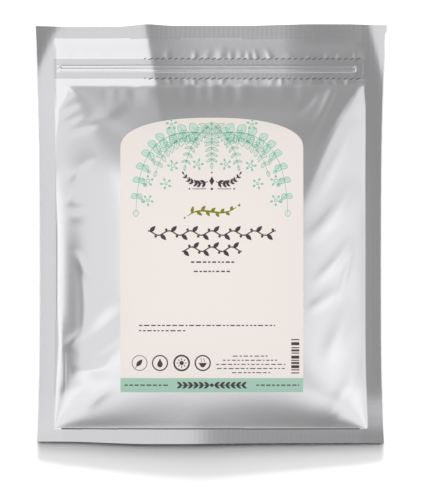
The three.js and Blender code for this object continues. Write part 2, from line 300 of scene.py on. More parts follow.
def bulge(x, y):
    """The share of its full height that the front stands at: 0 at the seam, 1 at the fullest point."""
    narrowing = (top_narrowing - right_easing * ramp(x, 0, 60)) * ramp(y, 90, 108)
    across = np.clip(abs(x) / (inner_half(y) - narrowing), 0, 1)
    # The film is gathered below the tape, so the body's upper edge is slightly scalloped.
    scallops = fine_scallop * np.sin(x / 1.9 + 2.1 * np.sin(x / 13)) + broad_scallop * np.sin(x / 3.7 + 1)
    upper_edge = bulge_top + ramp(y, 88, 106) * (gather + scallops * ramp(85 - abs(x), 0, 20))
    up = np.clip((y - fullest) / (upper_edge - fullest), 0, 1)
    down = np.clip((fullest - y) / (fullest - bulge_bottom), 0, 1)
    along = np.where(y > fullest, 1 - up ** up_fullness, 1 - down ** down_fullness) ** end_softness
    upper, lower = ramp(y, -10, 100), ramp(-y, -10, 120)
    # The contents have slid away from the top left corner, where the film rises gently.
    gentle = 0.75 * ramp(y, 40, 108) * ramp(-x, 0, 60) + 0.13 * ramp(x, 0, 60) * ramp(80 - y, 0, 80)
    softness = side_softness + 0.43 * upper + 0.06 * lower + gentle
    across = (1 - across ** (side_fullness + 0.2 * upper)) ** softness
    # Four facets, above, below and at the sides, meet in creases that run out to the corners.
    crease = crease_sharpness - lower_crease_loss * ramp(-y, 0, 110)
    across, along = np.maximum(across, 1e-4), np.maximum(along, 1e-4)
    share = (across ** -crease + along ** -crease - 1) ** (-1 / crease)
    # The film rises from the tape in a small curve, not in a crease.
    foot = ramp(y, 70, 100) * (foot_curve - right_foot_loss * ramp(x, 50, 95))
    return np.sqrt(share * share + foot * foot) - foot


# The interlock, which stands up as a bead, from its left end to its right.
zip_start, zip_end = -111.3, 105.6
bead_middle, bead_half, bead_height = 119.5, 2.7, 0.35
groove_places, groove_half, groove_depth = (120.5, 117.7), 0.62, 0.34
lip_x, lip_middle, lip_height = 110.2, 119.2, 0.22
tape_lift = 0.75


def zip_relief(x, y):
    """How far the tape, and the interlock between two pressed grooves, lift the film."""
    at_sides = ramp(inner_half(y) - abs(x), 0, 1.5 + 8 * ramp(x, 0, 60))
    over_tape = np.where(y > zip_middle, ramp(top_seal - y, 0, top_seal - zip_middle - tape_half),
                         ramp(y, 84, zip_middle - tape_half))
    # The bead is pointed at its left end and rounded at its right.
    reach = bead_half * np.clip((x - zip_start) / 3.0, 0, 1) * np.sqrt(np.clip((zip_end - x) / 1.4, 0, 1))
    bead = bead_height * ramp(reach - abs(y - bead_middle), -0.3, 0.6)
    grooves = sum(np.exp(-((y - place) / groove_half) ** 2) for place in groove_places)
    grooved = ramp(x, zip_start + 2.2, zip_start + 3.4) * ramp(zip_end - x, 0.9, 1.6)
    # Beyond the interlock's right end the tape is crushed flat, with a curved lip.
    from_lip = x - lip_x + 0.04 * (y - lip_middle) ** 2
    lip = lip_height * np.exp(-(from_lip / 0.7) ** 2) * ramp(4.8 - abs(y - lip_middle), 0, 1.2)
    # The grooves are shallower to the right of the header's bend.
    depth = groove_depth - 0.16 * ramp(x, -60, -30)
    return at_sides * (over_tape * tape_lift + bead - depth * grooves * grooved + lip)


puckers = [  # where along the tape's edge, lean, height, half width, and length away from the tape
    # In the header, above the tape.
    (-103.2, 0.0, 0.10, 1.4, 7.5), (-93.0, 0.2, 0.12, 2.4, 9.0), (-79.0, -0.1, 0.10, 2.2, 8.0),
    (-31.0, 0.0, 0.14, 1.6, 9.5), (-11.6, 0.1, 0.16, 1.3, 7.5), (-3.0, 0.3, 0.12, 2.0, 9.0),
    (7.4, 0.1, 0.22, 2.6, 11.0), (14.8, 0.0, 0.16, 1.5, 8.0), (21.5, 0.1, 0.12, 1.6, 8.0),
    (27.6, 0.0, 0.20, 1.3, 7.0), (33.4, -0.2, 0.18, 1.3, 9.0), (43.6, -0.4, 0.20, 1.5, 8.5),
    (57.0, 0.1, 0.08, 2.0, 6.0), (71.2, 0.0, 0.14, 1.0, 3.5), (84.6, 0.1, 0.20, 1.5, 8.0),
    (89.6, 0.2, -0.22, 1.5, 7.5), (102.8, 0.0, -0.24, 1.5, 8.0),
    # Below the tape, over the first of the contents.
    (-96.0, 0.0, -0.10, 1.8, -7.0), (-70.0, 0.2, 0.08, 2.2, -6.0), (-58.0, 0.0, 0.08, 1.8, -6.5),
    (-29.8, 0.0, 0.16, 1.2, -6.5), (-19.6, 0.1, -0.16, 1.6, -8.5), (-11.4, -0.1, 0.20, 1.2, -7.0),
    (-3.0, 0.3, -0.16, 1.6, -7.5), (8.6, -0.1, 0.20, 1.3, -6.5), (27.4, 0.0, 0.12, 1.5, -6.0),
    (37.0, 0.1, -0.10, 2.2, -8.5), (45.2, -0.3, 0.14, 1.6, -9.0), (51.6, -0.1, 0.22, 1.2, -8.5),
    (62.0, 0.2, -0.10, 2.0, -8.0), (74.6, -0.3, 0.14, 1.8, -9.5), (81.4, 0.2, -0.18, 1.6, -9.0),
    (90.2, 0.5, 0.22, 1.5, -13.0), (96.0, 0.1, -0.16, 1.4, -8.5), (100.2, -0.2, 0.14, 1.3, -9.0),
]


def puckered(x, y):
    """Small gathers where the film is welded along the tape, softer where the contents fill them out."""
    total = np.zeros(x.shape)
    for place, lean, height, width, length in puckers:
        edge = zip_middle + math.copysign(tape_half, length)
        out = (y - edge) * math.copysign(1, length)
        height = height * (0.55 if length > 0 else 0.35)
        shape = np.exp(-((x - place - lean * out) / (1.4 * width)) ** 2)
        total += height * shape * ramp(out, -0.8, 1.6) * ramp(abs(length) - out, 0, abs(length) * 0.85)
    return total


folds = [  # start, middle and end, height, half width, and how much steeper the side to the left is
    # The crease between the top facet and the right side, and streaks in the top facet.
    ((106, 98), (86, 66), (62, 6), 0.9, 6.5, 0.0),
    ((-99, 72), (-80, 83), (-60, 94), 0.5, 5.0, 0.0),
    ((90, 112), (86, 98), (68, 64), 0.5, 3.6, 0.0),
    ((78, 104), (72, 96), (60, 84), -0.4, 3.0, 0.0),
    # Drawn in from the left seam, above the middle.
    ((-111, 84), (-103, 91), (-92, 97), 0.50, 3.0, 0.0),
    ((-109, 76), (-100, 83), (-88, 89), 0.60, 3.4, 0.0),
    ((-106, 70), (-94, 77), (-80, 80), 0.40, 3.2, 0.0),
    ((-82, 57), (-94, 49), (-104, 36), 0.80, 4.6, 0.4),
    ((-95, 33), (-99, 28), (-104, 22), 0.22, 2.4, 0.0),
    ((-110, 24), (-98, 23), (-80, 24), 0.20, 3.4, 0.0),
    ((-108, 14), (-90, 13), (-68, 19), 0.26, 4.2, 0.0),
    # Along the dark lens's right edge, across it, and beside it.
    ((-98, -10), (-91, -50), (-96, -98), 0.24, 2.4, 0.0),
    ((-108, -84), (-98, -76), (-88, -67), 0.30, 3.4, 0.0),
    ((-97, -12), (-92, -24), (-84, -38), 0.34, 3.0, 0.0),
    ((-110, -52), (-110, -80), (-109, -112), 0.75, 4.5, 0.0),
    ((-93, -88), (-76, -68), (-60, -50), -1.50, 7.5, 0.0),
    ((-92, -98), (-77, -87), (-60, -74), -0.30, 4.0, 0.0),
    ((-101, -99), (-86, -98), (-68, -97), 0.80, 5.0, 0.0),
    ((-94, -127), (-82, -117), (-66, -107), 0.80, 4.4, 0.0),
    ((-105.4, -80), (-105.8, -100), (-105.8, -122), 0.16, 1.2, 0.0),
    # From the right seam, above the middle and below it.
    ((105, 84), (94, 60), (72, 18), 0.95, 4.4, 0.0),
    ((104, 42), (92, 18), (68, -8), 1.20, 5.6, 0.0),
    ((103, 0), (92, -18), (72, -38), 1.00, 4.0, 0.0),
    ((103, -8), (98, -28), (91, -52), 0.50, 2.5, 0.0),
    ((95, -38), (82, -48), (68, -58), 0.60, 4.2, 0.0),
    ((101, -46), (92, -74), (82, -96), 1.20, 6.6, 0.0),
    ((104, -80), (98, -114), (74, -140), 0.80, 5.6, 0.1),
]


fold_steps, fold_margin = 12, 5


def folded(x, y):
    """The height that the folds add: ridges and valleys that fade out at both ends and at the seams."""
    total = np.zeros(x.shape)
    for start, middle, end, height, width, lean in folds:
        path = np.array([start, middle, end], float)
        reach = 3 * width * (1 + abs(lean))
        near = ((x > path[:, 0].min() - reach) & (x < path[:, 0].max() + reach)
                & (y > path[:, 1].min() - reach) & (y < path[:, 1].max() + reach))
        if not near.any():
            continue
        px, py = x[near], y[near]
        pull = 2 * path[1] - (path[0] + path[2]) / 2
        stops = np.linspace(0, 1, fold_steps + 1)[:, None]
        curve = (1 - stops) ** 2 * path[0] + 2 * stops * (1 - stops) * pull + stops ** 2 * path[2]
        nearest = np.full(px.shape, 1e9)
        along = np.zeros(px.shape)
        side = np.zeros(px.shape)
        for i, (a, b) in enumerate(zip(curve[:-1], curve[1:])):
            way = b - a
            share = np.clip(((px - a[0]) * way[0] + (py - a[1]) * way[1]) / (way @ way), 0, 1)
            gap = (px - a[0] - share * way[0]) ** 2 + (py - a[1] - share * way[1]) ** 2
            closer = gap < nearest
            nearest = np.where(closer, gap, nearest)
            along = np.where(closer, (i + share) / fold_steps, along)
            side = np.where(closer, way[0] * (py - a[1]) - way[1] * (px - a[0]), side)
        fade = np.sin(np.pi * along) ** 1.3
        spread = width * (1 - lean * np.tanh(side / (4 * width)))
        total[near] += height * fade * np.exp(-nearest / spread ** 2)
    from_seam = np.minimum(inner_half(y) - abs(x), y - bulge_bottom)
    from_seam = np.minimum(from_seam, bulge_top - y)
    return total * ramp(from_seam, 0, fold_margin)


def front_height(x, y):
    """Height of the front film's outer face."""
    inside = (abs(x) < inner_half(y)) & (y < top_seal) & (y > bottom_seal)
    relief = (zip_relief(x, y) + puckered(x, y)) * inside + crown * bulge(x, y) + folded(x, y)
    return seam_sheet(x, y) + film_thickness + glue_line + relief


def line(*stops):
    """Numbers from stop to stop: each stop is a number, and between two stops stands a count of steps."""
    numbers = [stops[0]]
    for start, count, end in zip(stops[:-2:2], stops[1::2], stops[2::2]):
        numbers += [start + (end - start) * (i + 1) / count for i in range(count)]
    return np.array(numbers)


body_half = 115
peak_x, peak_half, peak_height = -46, 11, 1.1
left_dip, far_left_dip, corner_dip = 1.2, 0.7, 0.6
right_rise, left_rise, foot_hang = 0.6, 1.7, 0.5
ear_reach, ear_start = 1.1, 145.4


def on_pouch(column, row):
    """Grid to millimetres. Columns run from -2 to 2, with the side seals beyond 1."""
    into_seal = np.clip(abs(column) - 1, 0, 1)
    edge = np.sign(column) * (np.minimum(abs(column), 1) * body_half + into_seal * side_seal)
    # The top edge peaks over the header's bend, dips to its left and rises to its right.
    peak = peak_height * np.exp(-((edge - peak_x) / peak_half) ** 2)
    dip = left_dip * (1 - ramp(edge, 20, 80)) + far_left_dip * ramp(-edge, 50, 72) - peak
    dip = dip + corner_dip * ramp(edge, 100, 127) - corner_dip * ramp(-edge, 104, 127)
    # The bottom edge hangs lowest just left of the middle.
    rise = right_rise * ramp(edge, -35, 45) + left_rise * ramp(-edge, 45, 110) - foot_hang
    y = row - dip * ramp(row, top_seal - 8, half_length) + rise * ramp(-row, -bottom_seal - 4, half_length)
    inner = inner_half(y)
    x = np.sign(column) * (np.minimum(abs(column), 1) * inner + into_seal * (half_width(y) - inner))
    # A little ear is left on the top right corner by the bag machine's knife.
    return x + ear_reach * ramp(y, ear_start, ear_start + 1.2) * np.clip(column - 1, 0, 1) ** 4, y


def sheet_faces(columns, rows):
    """The faces of a closed sheet: those of a grid of points, of a like grid below it, and of the rim."""
    at = np.arange(columns * rows).reshape(columns, rows)
    under = at + columns * rows
    border = np.concatenate([at[:, 0], at[-1, 1:], at[-2::-1, -1], at[0, -2:0:-1]])
    ahead = np.roll(border, -1)
    return np.concatenate([
        np.stack([at[:-1, :-1], at[1:, :-1], at[1:, 1:], at[:-1, 1:]], -1).reshape(-1, 4),
        np.stack([under[:-1, :-1], under[:-1, 1:], under[1:, 1:], under[1:, :-1]], -1).reshape(-1, 4),
        np.stack([border, border + columns * rows, ahead + columns * rows, ahead], -1)])


sharp_angle = math.radians(55)


def new_piece(name, points, faces):
    """A smooth mesh object from points in millimetres and a list of faces."""
    mesh = bpy.data.meshes.new(name)
    mesh.from_pydata((points / 1000).tolist(), [], faces)
    mesh.shade_smooth()
    mesh.set_sharp_from_angle(angle=sharp_angle)
    piece = bpy.data.objects.new(name, mesh)
    scene.collection.objects.link(piece)
    return piece


def closed_sheet(name, top, bottom):
    """A closed mesh between two grids of points, each an array of columns, rows and x, y, z."""
    points = np.concatenate([top.reshape(-1, 3), bottom.reshape(-1, 3)])
    return new_piece(name, points, sheet_faces(*top.shape[:2]).tolist())


# The grid is finest at the seams and over the zip, where the film bends most.
film_columns = line(0, 170, 0.96, 14, 1, 10, 2)
film_columns = np.concatenate([-film_columns[:0:-1], film_columns])
film_rows = line(-half_length, 8, -142.6, 12, -140.2, 16, -130, 170, 98, 26, 111.6, 10, 113.6, 8, 116, 36,
                 123.2, 8, 125.8, 12, 128, 16, top_seal, 10, half_length)


def film_sheet(name, height, thickness):
    """A sheet with that height on its outer face. A negative thickness puts the inner face above it."""
    column, row = np.meshgrid(film_columns, film_rows, indexing="ij")
    x, y = on_pouch(column, row)
    step = 0.05
    slope_x = (height(x + step, y) - height(x - step, y)) / (2 * step)
    slope_y = (height(x, y + step) - height(x, y - step)) / (2 * step)
    outer = np.stack([x, y, height(x, y)], -1)
    normal = np.stack([-slope_x, -slope_y, np.ones_like(x)], -1)
    normal /= np.linalg.norm(normal, axis=-1, keepdims=True)
    inner = outer - normal * thickness
    if thickness > 0:
        return closed_sheet(name, outer, inner)
    return closed_sheet(name, inner, outer)


front_film = film_sheet("front_foil_film", front_height, film_thickness)

# Aluminised laminate: mirror-bright aluminium seen through clear polyester, with a fine orange peel
# from laminating, so highlights are bright with soft edges.
orange_peel = 3.85
foil = bpy.data.materials.new("satin_aluminium_laminate")
foil.use_nodes = True
tree = foil.node_tree
shader = tree.nodes["Principled BSDF"]
shader.inputs["Base Color"].default_value = linear("#EEEEF0")
shader.inputs["Metallic"].default_value = 1.0
shader.inputs["Roughness"].default_value = 0.2
place = add(tree, "ShaderNodeTexCoord")
peel = add(tree, "ShaderNodeTexNoise",
           {"Vector": place.outputs["Object"], "Scale": 1000 / orange_peel, "Detail": 3})
bump = add(tree, "ShaderNodeBump", {"Height": peel, "Strength": 0.06, "Distance": 0.0003})
tree.links.new(bump.outputs[0], shader.inputs["Normal"])

# The same laminate where hot knurled bars have pressed it: duller, with a fine cross-hatch. Its lines are
# four times as far apart as the real ones, so that they show. A wave at a scale of 1 comes round 20 / tau
# times in a metre.
hatch_spacing = 3.49
hatch_scale = math.tau / 20 / (hatch_spacing / 1000)
sealed_foil = bpy.data.materials.new("knurled_heat_seal")
sealed_foil.use_nodes = True
tree = sealed_foil.node_tree
shader = tree.nodes["Principled BSDF"]
shader.inputs["Base Color"].default_value = linear("#D8D8DA")
shader.inputs["Metallic"].default_value = 1.0
shader.inputs["Roughness"].default_value = 0.25
place = add(tree, "ShaderNodeTexCoord")
hatch_inputs = {"Vector": place.outputs["Object"], "Scale": hatch_scale, "Distortion": 0.6, "Detail": 1}
hatch_across = add(tree, "ShaderNodeTexWave", hatch_inputs, bands_direction="X")
hatch_along = add(tree, "ShaderNodeTexWave", hatch_inputs, bands_direction="Y")
hatch = add(tree, "ShaderNodeMath", {0: hatch_across, 1: hatch_along}, operation="ADD")
bump = add(tree, "ShaderNodeBump", {"Height": hatch, "Strength": 0.025, "Distance": 0.0002})
tree.links.new(bump.outputs[0], shader.inputs["Normal"])

# And a dull dark grey: painted shade along the crease where the film meets the bottom seal, and the
# slanting ticks that the zip's welding wheel leaves along the tape.
tick_and_crease_shade_foil = bpy.data.materials.new("tick_marks_and_painted_crease_shade")
tick_and_crease_shade_foil.use_nodes = True
shader = tick_and_crease_shade_foil.node_tree.nodes["Principled BSDF"]
shader.inputs["Base Color"].default_value = linear("#7C7C7E")
shader.inputs["Metallic"].default_value = 1.0
shader.inputs["Roughness"].default_value = 0.4

for finish in (foil, sealed_foil, tick_and_crease_shade_foil):
    front_film.data.materials.append(finish)


# The bead stands proud of the bars that weld the tape, so its top keeps the film's shine.
shiny_bead_half = 2.5


def mark_seals(piece):
    """Gives the four seals and the zip's tape the pressed finish, the second of the piece's materials."""
    for face in piece.data.polygons:
        x, y = face.center.x * 1000, face.center.y * 1000
        inner = float(inner_half(np.float64(y)))
        on_bead = abs(y - bead_middle) <= shiny_bead_half and zip_start < x < zip_end
        on_tape = abs(y - zip_middle) < tape_half and not on_bead
        if abs(x) > inner or y > top_seal or y < bottom_seal or on_tape:
            face.material_index = 1


mark_seals(front_film)
tick_spacing, tick_half, tick_half_width, tick_slant = 4.56, 1.4, 0.36, 0.35
ticks_start, ticks_end = -48, 109
crease_shade_width, crease_shade_half = 1.0, 108
for face in front_film.data.polygons:
    x, y = face.center.x * 1000, face.center.y * 1000
    along_tick = x % tick_spacing - tick_spacing / 2
    from_tape = abs(y - tick_slant * along_tick - zip_middle) - tape_half
    on_tick = abs(from_tape) < tick_half_width and abs(along_tick) < tick_half
    if on_tick and ticks_start < x < ticks_end:
        face.material_index = 2
    # Painted shade: the strip just inside the bottom seal gets the dark grey, where the film meets the
    # seal in a crease.
    if bottom_seal < y < bottom_seal + crease_shade_width and abs(x) < crease_shade_half:
        face.material_index = 2
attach(front_film, "root")
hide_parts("front_film")

# ---------------------------------------------------------------------------------------- back film
# The back sheet, of the same laminate and heat-sealed to the front one. The weight of the contents
# presses it flat on the table, and it turns up to the seams around them.
press = 1.7


def back_height(x, y):
    """Height of the back film's outer face, which never goes below the table."""
    inside = (abs(x) < inner_half(y)) & (y < top_seal) & (y > bottom_seal)
    pressed = 1 - np.maximum(0, 1 - press * bulge(x, y)) ** 2
    drop = (seam_height - film_thickness - glue_line) * pressed
    depth = film_thickness + glue_line + zip_relief(x, y) * inside + drop
    return np.maximum(seam_sheet(x, y) - depth, 0.0)


back_film = film_sheet("back_foil_film", back_height, -film_thickness)
back_film.data.materials.append(foil)
back_film.data.materials.append(sealed_foil)
mark_seals(back_film)
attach(back_film, "root")
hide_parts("back_film")

# ---------------------------------------------------------------------------------------- zip
# Two extruded tracks inside the header, welded to the two sheets and pressed shut: the rib's head has
# snapped in behind the channel's hooks. Only the ridge they raise shows, through the film.

# Low-density polyethylene, extruded: milky and waxy, with a faint unevenness from the die.
die_ripple = 2.5
polyethylene = bpy.data.materials.new("milky_polyethylene")
polyethylene.use_nodes = True
tree = polyethylene.node_tree
shader = tree.nodes["Principled BSDF"]
shader.inputs["Base Color"].default_value = linear("#E9EBEA")
shader.inputs["Roughness"].default_value = 0.42
shader.inputs["IOR"].default_value = 1.51
place = add(tree, "ShaderNodeTexCoord")
drawn = add(tree, "ShaderNodeTexNoise",
            {"Vector": place.outputs["Object"], "Scale": 1000 / die_ripple, "Detail": 2})
bump = add(tree, "ShaderNodeBump", {"Height": drawn, "Strength": 0.1, "Distance": 0.0001})
tree.links.new(bump.outputs[0], shader.inputs["Normal"])

# Half of each section, as distance from the zip's middle and height over the seam sheet. It runs along
# the side that is welded to the film, to the zip's middle, and back along the side that snaps shut. The
# other half mirrors it.
channel_half = [(6.8, 0.24), (4.2, 0.24), (2.6, 0.62), (0, 0.62), (0, 0.44), (1.1, 0.44),
                (1.1, -0.06), (0.75, -0.06), (0.75, -0.28), (1.9, -0.28), (1.9, 0.44), (2.6, 0.44),
                (4.4, 0.08), (6.8, 0.08)]
rib_half = [(6.8, -0.24), (4.2, -0.24), (2.6, -0.62), (0, -0.62), (0, 0.32), (0.5, 0.32), (0.7, 0.08),
            (0.4, 0.08), (0.4, -0.44), (2.6, -0.44), (4.4, -0.08), (6.8, -0.08)]
for name, half in (("zip_channel", channel_half), ("zip_rib", rib_half)):
    welded_side, shut_side = half[:4], half[4:]
    section = [(-across, up) for across, up in welded_side] + welded_side[-2::-1]
    section = np.array(section + shut_side[::-1] + [(-across, up) for across, up in shut_side[1:]])
    stations = np.linspace(zip_start + 1.8, zip_end - 0.2, 70)
    x, across = np.meshgrid(stations, section[:, 0], indexing="ij")
    y = zip_middle + across
    points = np.stack([x, y, seam_sheet(x, y) + section[:, 1]], -1)
    at = np.arange(x.size).reshape(x.shape)
    ahead = np.roll(at, -1, axis=1)
    sides = np.stack([at[:-1], ahead[:-1], ahead[1:], at[1:]], -1).reshape(-1, 4).tolist()
    track = new_piece(name, points.reshape(-1, 3), sides + [at[0].tolist()[::-1], at[-1].tolist()])
    track.data.materials.append(polyethylene)
    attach(track, "root")
    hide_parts(name + "_track")

# ---------------------------------------------------------------------------------------- contents
# A pound of root, sliced, chopped and air-dried, poured in loose and settled into one mass. It is shut
# in the dark inside the pouch, so the CAD solid stands for it.

# Cut dried root: brown bark and pale pith, mixed piece by piece.
cut_size = 6.25
dried_root = bpy.data.materials.new("cut_dried_root")
dried_root.use_nodes = True
tree = dried_root.node_tree
shader = tree.nodes["Principled BSDF"]
place = add(tree, "ShaderNodeTexCoord")
cuts = add(tree, "ShaderNodeTexVoronoi", {"Vector": place.outputs["Object"], "Scale": 1000 / cut_size})
shades = add(tree, "ShaderNodeValToRGB", {"Fac": cuts.outputs["Color"]})
shades.color_ramp.elements[0].color = linear("#6B5138")
shades.color_ramp.elements[1].color = linear("#CDB791")
tree.links.new(shades.outputs[0], shader.inputs["Base Color"])
bump = add(tree, "ShaderNodeBump",
           {"Height": cuts.outputs["Distance"], "Strength": 0.8, "Distance": 0.002})
tree.links.new(bump.outputs[0], shader.inputs["Normal"])
shader.inputs["Roughness"].default_value = 0.9
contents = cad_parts["dried_root_contents"]
contents.data.materials.clear()
contents.data.materials.append(dried_root)

# ---------------------------------------------------------------------------------------- label
# A self-adhesive label of satin-coated paper, die-cut with square bottom corners and an arched top. It
# is stuck to the front film and follows the contents' bulge.
label_left, label_right, label_bottom = -65.0, 66.9, -114.5
label_shoulder, label_apex, arch_fullness = 61.5, 83.8, 2.35
label_thickness, glue = 0.11, 0.03
middle_x, label_half = (label_left + label_right) / 2, (label_right - label_left) / 2


def arch(x):
    """Height of the label's top edge."""
    share = np.clip(abs(x - middle_x) / label_half, 0, 1)
    rise = (1 - share ** arch_fullness) ** (1 / arch_fullness)
    return label_shoulder + (label_apex - label_shoulder) * rise


def label_height(x, y):
    """Height of the label's upper face."""
    return front_height(x, y) + glue + label_thickness


# Columns of the grid close up towards the label's sides, where the arch is steepest.
spread = np.sin(np.linspace(-math.pi / 2, math.pi / 2, 97))
column, row = np.meshgrid(spread, np.linspace(0, 1, 131), indexing="ij")
x = middle_x + label_half * column
y = label_bottom + (arch(x) - label_bottom) * row
top = np.stack([x, y, label_height(x, y)], -1)
label = closed_sheet("paper_label", top, top - [0, 0, label_thickness])

# Coated paper: an even warm white with a soft satin sheen and the finest trace of fibre.
fibre_clump = 0.667
paper = bpy.data.materials.new("satin_coated_paper")
paper.use_nodes = True
tree = paper.node_tree
shader = tree.nodes["Principled BSDF"]
shader.inputs["Base Color"].default_value = linear("#EAE2DD")
shader.inputs["Roughness"].default_value = 0.5
place = add(tree, "ShaderNodeTexCoord")
fibre = add(tree, "ShaderNodeTexNoise",
            {"Vector": place.outputs["Object"], "Scale": 1000 / fibre_clump, "Detail": 4})
bump = add(tree, "ShaderNodeBump", {"Height": fibre, "Strength": 0.04, "Distance": 0.0001})
tree.links.new(bump.outputs[0], shader.inputs["Normal"])
label.data.materials.append(paper)
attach(label, "root")
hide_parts("front_label")
banks["label_bank"].light_linking.receiver_collection.objects.link(label)

# ---------------------------------------------------------------------------------------- label print
# The label's print: a garland of plain leaves in the arch, running borders and rows of dashes where a
# label has its words, four pictograms, a block of bars and a green foot band. Each ink is a thin film
# laid on the paper by a flexographic press.
ink_lift, ink_film = 0.035, 0.012


def stroke(path, width, lanes=1):
    """A mark along a path, with one width or one for each point, as a grid of points in lanes."""
    path = np.asarray(path, float)
    way = np.gradient(path, axis=0)
    way /= np.maximum(np.linalg.norm(way, axis=1, keepdims=True), 1e-9)
    across = np.stack([-way[:, 1], way[:, 0]], -1) * np.broadcast_to(width, len(path))[:, None]
    return np.stack([path + across * share for share in np.linspace(0.5, -0.5, lanes + 1)])


def bend(start, pull, push, end, count=24):
    """A smooth path from start to end that leaves towards pull and arrives from push."""
    t = np.linspace(0, 1, count)[:, None]
    start, pull, push, end = map(np.array, (start, pull, push, end))
    return (1 - t) ** 3 * start + 3 * t * (1 - t) ** 2 * pull + 3 * t * t * (1 - t) * push + t ** 3 * end


def straight(start, end, count=8):
    """A straight path of count points."""
    return np.linspace(start, end, count)


def mirrored(marks):
    """The marks and their reflection in the label's middle line."""
    return marks + [(grid * [-1, 1] + [2 * middle_x, 0])[::-1] for grid in marks]


def full_leaf(base, angle, length, width):
    """A leaf filled with ink, drawn as one stroke that swells and tapers."""
    share = np.linspace(0, 1, 9)
    tip = np.array(base) + length * np.array([math.cos(angle), math.sin(angle)])
    return stroke(straight(base, tip, 9), 0.08 + width * np.sin(np.pi * share ** 0.85) ** 0.9)


def leaf_line(base, angle, length, width, line_width=0.5):
    """A leaf in outline with its midrib."""
    share = np.linspace(0, 1, 13)
    away = np.array([math.cos(angle), math.sin(angle)])
    aside = np.array([-away[1], away[0]])
    swell = width / 2 * np.sin(np.pi * share ** 0.85) ** 0.8
    middle = np.array(base) + length * share[:, None] * away
    edges = [stroke(middle + side * swell[:, None] * aside, line_width) for side in (1, -1)]
    tip = np.array(base) + length * 0.8 * away
    return edges + [stroke(straight(base, tip, 5), [0.5, 0.45, 0.4, 0.3, 0.15])]


def dot(centre, radius):
    """A round spot of ink."""
    share = np.linspace(-1, 1, 9)
    reach = straight(np.array(centre) - [radius, 0], np.array(centre) + [radius, 0], 9)
    return stroke(reach, 2 * radius * np.sqrt(np.maximum(1 - share ** 2, 0.02)))


def ring(centre, radius, width):
    """A circle drawn with a pen of that width."""
    angle = np.linspace(0, 2 * math.pi, 33)
    return stroke(np.array(centre) + radius * np.stack([np.cos(angle), np.sin(angle)], -1), width)


def spray(path, count, length, width, spread, draw):
    """Pairs of leaves along a path, longest at its start, and one at its tip."""
    marks = [stroke(path, np.linspace(0.7, 0.35, len(path)))]
    for k in range(count):
        at = int((k + 0.7) / (count + 0.4) * (len(path) - 1))
        way = path[min(at + 1, len(path) - 1)] - path[at - 1]
        ahead = math.atan2(way[1], way[0])
        size = 1 - 0.45 * k / count
        for side in (1, -1):
            marks += draw(path[at], ahead + side * spread, length * size, width * size)
    way = path[-1] - path[-2]
    return marks + draw(path[-1], math.atan2(way[1], way[0]), length * 0.6, width * 0.6)


# The garland: leafy branches out to both sides, fern fronds between them, and seeds on stalks.
# The branches' leaves have a pale tint inside their outlines.
leaf_pairs = 9
branch = bend((6, 72.5), (36, 76), (54, 64), (55.5, 17), 60)
garland = spray(branch, leaf_pairs, 8.0, 6.4, 0.95, leaf_line)
garland += spray(bend((3, 78), (11, 72), (17, 64), (20, 49)), 8, 6.4, 2.6, 1.0, leaf_line)
garland += spray(bend((14, 72), (27, 68), (36, 62), (41, 45)), 7, 7.0, 3.6, 0.9, leaf_line)
tint = []
for k in range(leaf_pairs):
    at = int((k + 0.7) / (leaf_pairs + 0.4) * (len(branch) - 1))
    way = branch[at + 1] - branch[at]
    ahead = math.atan2(way[1], way[0])
    size = 1 - 0.05 * k
    tint += [full_leaf(branch[at], ahead + side * 0.95, 7.6 * size, 5.6 * size) for side in (1, -1)]
for k in range(leaf_pairs):
    foot = branch[6 + 6 * k]
    seed = foot + np.array([-2.6 - 0.2 * k, -4.8])
    garland += [stroke(straight(foot, seed, 4), 0.45), ring(seed, 1.2, 0.5), dot(seed, 0.6)]
flower_places = [(29, 49), (47, 38), (11, 50), (47, 24), (34, 36), (30, 79)]
for k, (x, y) in enumerate(flower_places):
    garland += [ring((x, y), 1.3 - 0.1 * k, 0.6)]
    garland += [full_leaf((x + 1.9 * math.cos(a), y + 1.9 * math.sin(a)), a, 2.6, 1.6)
                for a in np.arange(5) * 2 * math.pi / 5 + 0.3 * k]
garland, tint = mirrored(garland), mirrored(tint)
middle_frond = bend((middle_x, 81), (middle_x, 72), (middle_x, 62), (middle_x, 51))
garland += spray(middle_frond, 8, 7.5, 2.8, 1.05, leaf_line)

# The foot band, which stops a hair short of the label's edges.
band_width, band_margin = 10.36, 0.02
band_y = label_bottom + 5.2
foot_band = stroke(straight((label_left + band_margin, band_y), (label_right - band_margin, band_y), 90),
                   band_width, lanes=9)

# The scroll under the ornament, as from a broad pen: one waving twig with plump leaves.
twig = bend((-16.5, 12.5), (-5, 22.5), (6, 9), (18.5, 19), 60)
swash_marks = [stroke(twig, 0.5 + 0.9 * np.sin(np.pi * np.linspace(0, 1, 60)))]
for k in range(9):
    at = 5 + 6 * k
    way = twig[at + 1] - twig[at - 1]
    ahead = math.atan2(way[1], way[0]) + (0.85, -0.85)[k % 2]
    swash_marks.append(full_leaf(twig[at], ahead, 5.4 - 0.25 * k, 2.3))
swash_marks += [dot((20.6, 20.4), 0.9), dot((-18.6, 11.4), 0.7)]

